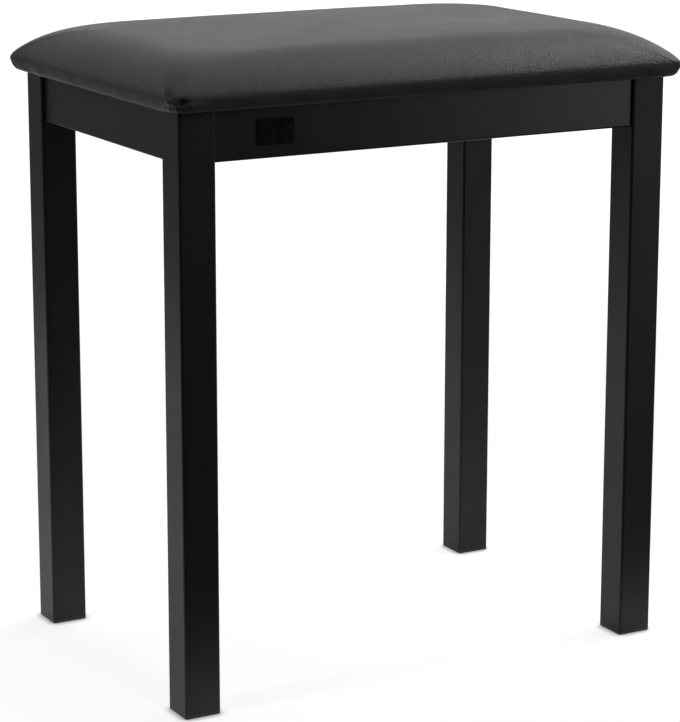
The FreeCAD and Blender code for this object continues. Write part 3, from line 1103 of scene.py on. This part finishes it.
    def settled(self, rows: Rows, points: np.ndarray) -> np.ndarray:
        """Carries the settling of a coarse cover to the crown of the fine one.

        Args:
            rows: the fine rows.
            points: their places by row and column.

        Returns:
            How far each place outside moves.
        """
        coarse = self.rows(*self.coarse_counts)
        start = coarse.surface(self.coarse_grid)
        move = self.relaxed(coarse, start).reshape(-1, 3)
        known = start[: coarse.outside].reshape(-1, 3)
        tight = smooth_step(rows.over_nose()[: rows.outside], *self.tight_span)
        return nearby_mean(points[: rows.outside], known, move, self.blur) * tight[:, None, None]

    def folded(self, rows: Rows, points: np.ndarray) -> np.ndarray:
        """Adds the corner folds and the waves of the band that stretching the cover leaves.

        Args:
            rows: the rows.
            points: their places by row and column.

        Returns:
            The folded places.
        """
        nose = rows.nose
        number = np.arange(len(points))[:, None]
        shows = number < rows.outside
        level = -rows.over_nose()[:, None] / MILLI
        drop = level * (number >= nose)
        inset = (self.half_y - rows.half_y)[:, None] / MILLI * (number < nose)
        band = smooth_step(drop, *self.band_span) * shows
        run, middles, total = self.grid.lengths(rows.half_x[nose], rows.half_y[nose], rows.radius[nose])
        turn = run[None, :] * math.tau / total
        out = sum(wave.shape(turn) for wave in self.waves) * band * bell(drop, *self.wave_bell)
        rise = np.zeros(points.shape[:2])
        for corner, (middle, strength) in enumerate(zip(middles, self.corner_strengths)):
            away = (run - middle + total / 2) % total - total / 2
            along = (away if corner % 2 == 0 else -away)[None, :] / MILLI
            out += self.corner.outward(along, level, drop, band) * strength * shows
            out -= self.corner.drawn_in(along, level) * shows
            lifted = self.corner.puff.shape(along, inset) * strength + self.corner.crowned(along, inset)
            rise += lifted * (inset > 0) * shows
        ahead = np.roll(points[nose], -1, axis=0) - np.roll(points[nose], 1, axis=0)
        outward = np.stack([ahead[:, 1], -ahead[:, 0]], axis=1)
        outward /= np.linalg.norm(outward, axis=1, keepdims=True)
        folded = points.copy()
        folded[..., :2] += outward[None] * out[..., None] * MILLI
        folded[..., 2] += rise * MILLI
        folded[..., 2] = np.where(shows, np.maximum(folded[..., 2], self.bottom), folded[..., 2])
        return folded

    def build(self) -> bpy.types.Object:
        """Builds the seat and hides the solids that it stands for.

        Returns:
            The seat's object.
        """
        rows = self.rows(*self.row_counts)
        points = rows.surface(self.grid)
        points[: rows.outside] += self.settled(rows, points)
        points = self.folded(rows, points)
        piece = mesh_piece("seat_padding", points.reshape(-1, 3), self.grid.faces(len(points)))
        self.leather.dress(piece)
        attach(piece, ROOT_BODY)
        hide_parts("seat_cover", "seat_foam")
        return piece


@dataclass
class DustSheet:
    """Thin non-woven sheet stapled under the board: it sags a little and puckers at its staples."""

    cloth: NonWoven = NonWoven()
    sag: float = 1.2 * MILLI
    pucker: float = 0.35 * MILLI
    pucker_pitch: float = 36.0 * MILLI
    pucker_reach: float = 9.0 * MILLI
    thickness: float = 0.5 * MILLI
    hole: float = 6.0 * MILLI
    bolt_head_radius: float = 5.25 * MILLI
    across: int = 150
    along: int = 96

    def puckers(self, edge: float, across: np.ndarray, along: np.ndarray) -> np.ndarray:
        """Drop near two opposite edges: squared sines along them that fade inwards."""
        fade = np.exp(-(edge - np.abs(across)) / self.pucker_reach)
        return self.pucker * fade * np.sin(along * math.tau / self.pucker_pitch) ** 2

    def build(self) -> bpy.types.Object:
        """Builds the sheet: a level grid that sags as the product of two parabolas, with holes for bolts.

        Returns:
            The sheet's object.
        """
        low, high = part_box("dust_sheet")
        line_x = np.linspace(low.x, high.x, self.across)
        line_y = np.linspace(low.y, high.y, self.along)
        x, y = np.meshgrid(line_x, line_y, indexing="ij")
        sag = self.sag * (1.0 - (x / high.x) ** 2) * (1.0 - (y / high.y) ** 2)
        z = low.z - sag - self.puckers(high.x, x, y) - self.puckers(high.y, y, x)
        points = np.stack([x, y, z], axis=-1).reshape(-1, 3)
        row, column = np.meshgrid(np.arange(self.across - 1), np.arange(self.along - 1), indexing="ij")
        first = row * self.along + column
        corners = [first, first + 1, first + self.along + 1, first + self.along]
        faces = np.stack(corners, axis=-1).reshape(-1, 4)
        middle = points[faces].mean(axis=1)
        bolts_low, bolts_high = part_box("seat_bolts")
        bolt_x = (bolts_high - bolts_low).x / 2 - self.bolt_head_radius
        bolt_y = (bolts_high - bolts_low).y / 2 - self.bolt_head_radius
        clear = np.hypot(np.abs(middle[:, 0]) - bolt_x, np.abs(middle[:, 1]) - bolt_y) > self.hole
        piece = mesh_piece("dust_sheet_cloth", points, faces[clear])
        thick = piece.modifiers.new("thickness", "SOLIDIFY")
        thick.thickness = self.thickness
        thick.offset = -1.0
        self.cloth.dress(piece)
        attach(piece, ROOT_BODY)
        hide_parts("dust_sheet")
        return piece


@dataclass
class SteelFrame:
    """Tubes, brackets, plates, plugs and fasteners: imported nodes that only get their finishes."""

    coat: PowderCoat = PowderCoat()
    rail_coat: PowderCoat = PowderCoat(name="rail_coat", rough=(0.35, 0.31), specular=0.5)
    plastic: MouldedPlastic = MouldedPlastic()
    zinc: ZincPlate = ZincPlate()
    wood: Plywood = Plywood()
    badge: GlossBadge = GlossBadge()
    leather: ImitationLeather = ImitationLeather()
    felt: NonWoven = NonWoven()
    long_rails: tuple[str, ...] = ("front_rail", "rear_rail")

    def dress(self, nodes: dict[str, bpy.types.Object]) -> None:
        """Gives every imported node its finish, also the soft ones that other pieces stand for.

        Args:
            nodes: node name to object.
        """
        finishes = {
            "frame_coat": self.coat,
            "foot_plastic": self.plastic,
            "plated_steel": self.zinc,
            "plywood": self.wood,
            "badge_gloss": self.badge,
            "seat_leather": self.leather,
            "foam": self.felt,
            "dust_cloth": self.felt,
        }
        for part in frame["record"]["subparts"]:
            name = part["node"]
            finish = self.rail_coat if name in self.long_rails else finishes[part["material_slot"]]
            finish.dress(nodes[name])
            LOG.info("dressed %s with %s", name, finish.name)


@dataclass
class PhotoCamera:
    """Camera at the photograph's place: it looks at the near left corner from a little above the seat."""

    place: Place = (-1.0491, -1.8778, 0.7460)
    yaw: float = 29.139
    pitch: float = 12.785
    roll: float = 0.070
    focal_pixels: float = 2669.0
    shift: float = -0.05
    image_height: int = 722
    sensor: float = 36.0
    clip: Span = (0.05, 50.0)

    def build(self) -> bpy.types.Object:
        """Makes the camera from its heading, its tilt down and its small turn about the view.

        Returns:
            The camera's object.
        """
        yaw, pitch, roll = (math.radians(value) for value in (self.yaw, self.pitch, self.roll))
        level = Vector((math.sin(yaw), math.cos(yaw), 0.0))
        ahead = level * math.cos(pitch) - Vector((0.0, 0.0, math.sin(pitch)))
        right = Vector((math.cos(yaw), -math.sin(yaw), 0.0))
        up = right.cross(ahead)
        across = right * math.cos(roll) + up * math.sin(roll)
        upright = up * math.cos(roll) - right * math.sin(roll)
        data = bpy.data.cameras.new("photo_camera")
        data.sensor_width = self.sensor
        data.lens = self.focal_pixels * self.sensor / self.image_height
        data.shift_y = self.shift
        data.clip_start, data.clip_end = self.clip
        piece = bpy.data.objects.new("photo_camera", data)
        turned = Matrix((across, upright, -ahead)).transposed().to_4x4()
        piece.matrix_world = Matrix.Translation(Vector(self.place)) @ turned
        bpy.context.scene.collection.objects.link(piece)
        bpy.context.scene.camera = piece
        return piece


@dataclass(frozen=True)
class Lamp:
    """One soft box: its place, the point it faces, its width and height, and its power in watts."""

    name: str
    place: Place
    aim: Place
    size: Span
    power: float

    def build(self) -> bpy.types.Object:
        """Adds the soft box to the scene.

        Returns:
            The lamp's object.
        """
        data = bpy.data.lights.new(self.name, "AREA")
        data.shape = "RECTANGLE"
        data.size, data.size_y = self.size
        data.energy = self.power
        piece = bpy.data.objects.new(self.name, data)
        piece.location = self.place
        piece.rotation_euler = (Vector(self.aim) - Vector(self.place)).to_track_quat("-Z", "Y").to_euler()
        bpy.context.scene.collection.objects.link(piece)
        return piece


@dataclass
class Studio:
    """White sweep lit softly from the left, the right and above, with a small light in front."""

    lamps: tuple[Lamp, ...] = (
        Lamp("left_box", (-2.2, -0.2, 1.5), (0.0, 0.0, 0.35), (0.4, 0.4), 8.0),
        Lamp("top_box", (0.6, 0.35, 2.2), (0.6, 0.0, 0.4), (1.1, 0.5), 9.0),
        Lamp("high_right_box", (0.62, -0.12, 0.98), (0.2, -0.1, 0.48), (0.3, 0.3), 2.4),
        Lamp("right_box", (1.55, -1.5, 0.35), (0.15, -0.14, 0.44), (0.9, 0.9), 3.6),
        Lamp("front_box", (0.0, -2.05, 1.43), (0.0, 0.0, 0.1), (0.4, 0.4), 6.5),
    )
    floor_half: float = 0.86
    floor_front: float = -0.235
    floor_back: float = 1.10
    floor_drop: float = 0.2 * MILLI
    floor_colour: float = 0.82
    shadow_share: float = 0.65
    camera_lift: float = 0.805
    mirror_glow: Span = (0.56, 0.24)
    mirror_reach: float = 0.3
    # painted contact shadow: within this reach of the feet, ambient occlusion dims the floor's camera glow
    # down to the dark value
    painted_shadow_reach: float = 7.0 * MILLI
    painted_shadow_dark: float = 0.3
    painted_shadow_open: Span = (0.5, 1.0)
    fade_span: Span = (0.33, 0.45)
    sweep_heading: Place = (0.55, 0.80, 0.24)
    sweep_bright: float = 1.3
    sweep_side: float = 0.09
    sweep_front: float = 0.02
    sweep_high: float = 0.42
    room_span: Span = (-0.5, 0.4)
    lobe_span: Span = (0.45, 0.98)
    height_span: Span = (0.2, 0.65)

    @staticmethod
    def mirrored(graph: Graph, rays: Sockets) -> Output:
        """Gives 1 for rays that a gloss or a clear piece sends on, and 0 for others."""
        return graph.math("ADD", rays["Is Glossy Ray"], rays["Is Transmission Ray"], True)

    def paper(self) -> bpy.types.Material:
        """Makes the floor's paper: white to the camera with the stool's shadow on it, and clear from below.

        Part of the paper is lit. The rest glows by itself for the camera, dimmed close to the feet as a
        painted contact shadow, and it is plain white away from the stool. In mirrored rays it glows more on
        the left than on the right.

        Returns:
            The material.
        """
        graph = Surface("floor_paper")
        rays = graph.node("ShaderNodeLightPath").outputs
        seen = rays["Is Camera Ray"]
        full, faint = (self.floor_colour,) * 3, (self.floor_colour * self.shadow_share,) * 3
        paper = graph.node("ShaderNodeBsdfDiffuse", {"Color": graph.blend(seen, full, faint)})
        across = graph.node("ShaderNodeSeparateXYZ", {0: graph.place}).outputs["X"]
        glow = graph.span(across, (-self.mirror_reach, self.mirror_reach), self.mirror_glow)
        mirror = graph.times(self.mirrored(graph, rays), glow)
        # painted contact shadow: ambient occlusion darkens the floor's glow for the camera close to the feet
        corner = graph.node("ShaderNodeAmbientOcclusion", {"Distance": self.painted_shadow_reach}, samples=8)
        painted_contact_shadow = graph.span(corner.outputs["AO"], self.painted_shadow_open, (self.painted_shadow_dark, self.camera_lift))
        strength = graph.math("ADD", graph.times(seen, painted_contact_shadow), mirror)
        lift = graph.node("ShaderNodeEmission", {"Strength": strength})
        lit = graph.node("ShaderNodeAddShader", {0: paper.outputs[0], 1: lift.outputs[0]})
        far = graph.vector("LENGTH", {0: graph.place})["Value"]
        fade = graph.times(graph.span(far, self.fade_span), seen)
        white = graph.node("ShaderNodeEmission", {"Strength": 1.0})
        above = graph.node("ShaderNodeMixShader", {0: fade, 1: lit.outputs[0], 2: white.outputs[0]})
        below = graph.node("ShaderNodeNewGeometry").outputs["Backfacing"]
        clear = graph.node("ShaderNodeBsdfTransparent")
        sides = {0: below, 1: above.outputs[0], 2: clear.outputs[0]}
        return graph.end(graph.node("ShaderNodeMixShader", sides))

    def floor(self) -> bpy.types.Object:
        """Makes the floor, a hair under the feet.

        Returns:
            The floor's object.
        """
        x = np.array([-1.0, 1.0, 1.0, -1.0]) * self.floor_half
        y = np.repeat([self.floor_front, self.floor_back], 2)
        points = np.stack([x, y, np.full(4, -self.floor_drop)], axis=1)
        piece = mesh_piece("floor", points, np.array([[0, 1, 2, 3]]), smooth=False)
        piece.data.materials.append(self.paper())
        return piece

    def sky(self) -> None:
        """Makes the surroundings: white to the camera, and for light a sweep, bright behind the stool."""
        world = bpy.data.worlds.new("sweep")
        bpy.context.scene.world = world
        world.use_nodes = True
        graph = Graph(world.node_tree)
        heading = graph.node("ShaderNodeTexCoord").outputs["Generated"]
        toward = graph.vector("DOT_PRODUCT", {0: heading, 1: self.sweep_heading})["Value"]
        height = graph.node("ShaderNodeSeparateXYZ", {0: heading}).outputs["Z"]
        room = graph.span(toward, self.room_span, (self.sweep_front, self.sweep_side))
        lobe = graph.span(toward, self.lobe_span, (0.0, self.sweep_bright - self.sweep_side))
        paper = graph.times(lobe, graph.span(height, self.height_span, (1.0, self.sweep_high)))
        rays = graph.node("ShaderNodeLightPath").outputs
        reflected = graph.times(self.mirrored(graph, rays), paper)
        shown = graph.math("MAXIMUM", rays["Is Camera Ray"], reflected)
        strength = graph.math("MAXIMUM", graph.math("ADD", room, paper), shown)
        glow = graph.node("ShaderNodeBackground", {"Color": (1.0, 1.0, 1.0), "Strength": strength})
        graph.node("ShaderNodeOutputWorld", {"Surface": glow.outputs[0]})

    def build(self) -> None:
        """Makes the floor, the surroundings and the lamps, and sets the plain view transform."""
        self.floor()
        self.sky()
        for lamp in self.lamps:
            lamp.build()
        bpy.context.scene.view_settings.view_transform = "Standard"


def main() -> None:
    """Builds the stool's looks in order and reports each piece."""
    logging.basicConfig(level=logging.INFO, format="%(message)s")
    SteelFrame().dress(frame["nodes"])
    for maker in (PhotoCamera(), Seat(), DustSheet()):
        piece = maker.build()
        LOG.info("built %s", piece.name)
    Studio().build()
    bpy.context.view_layer.update()


if __name__ == "__main__":
    main()
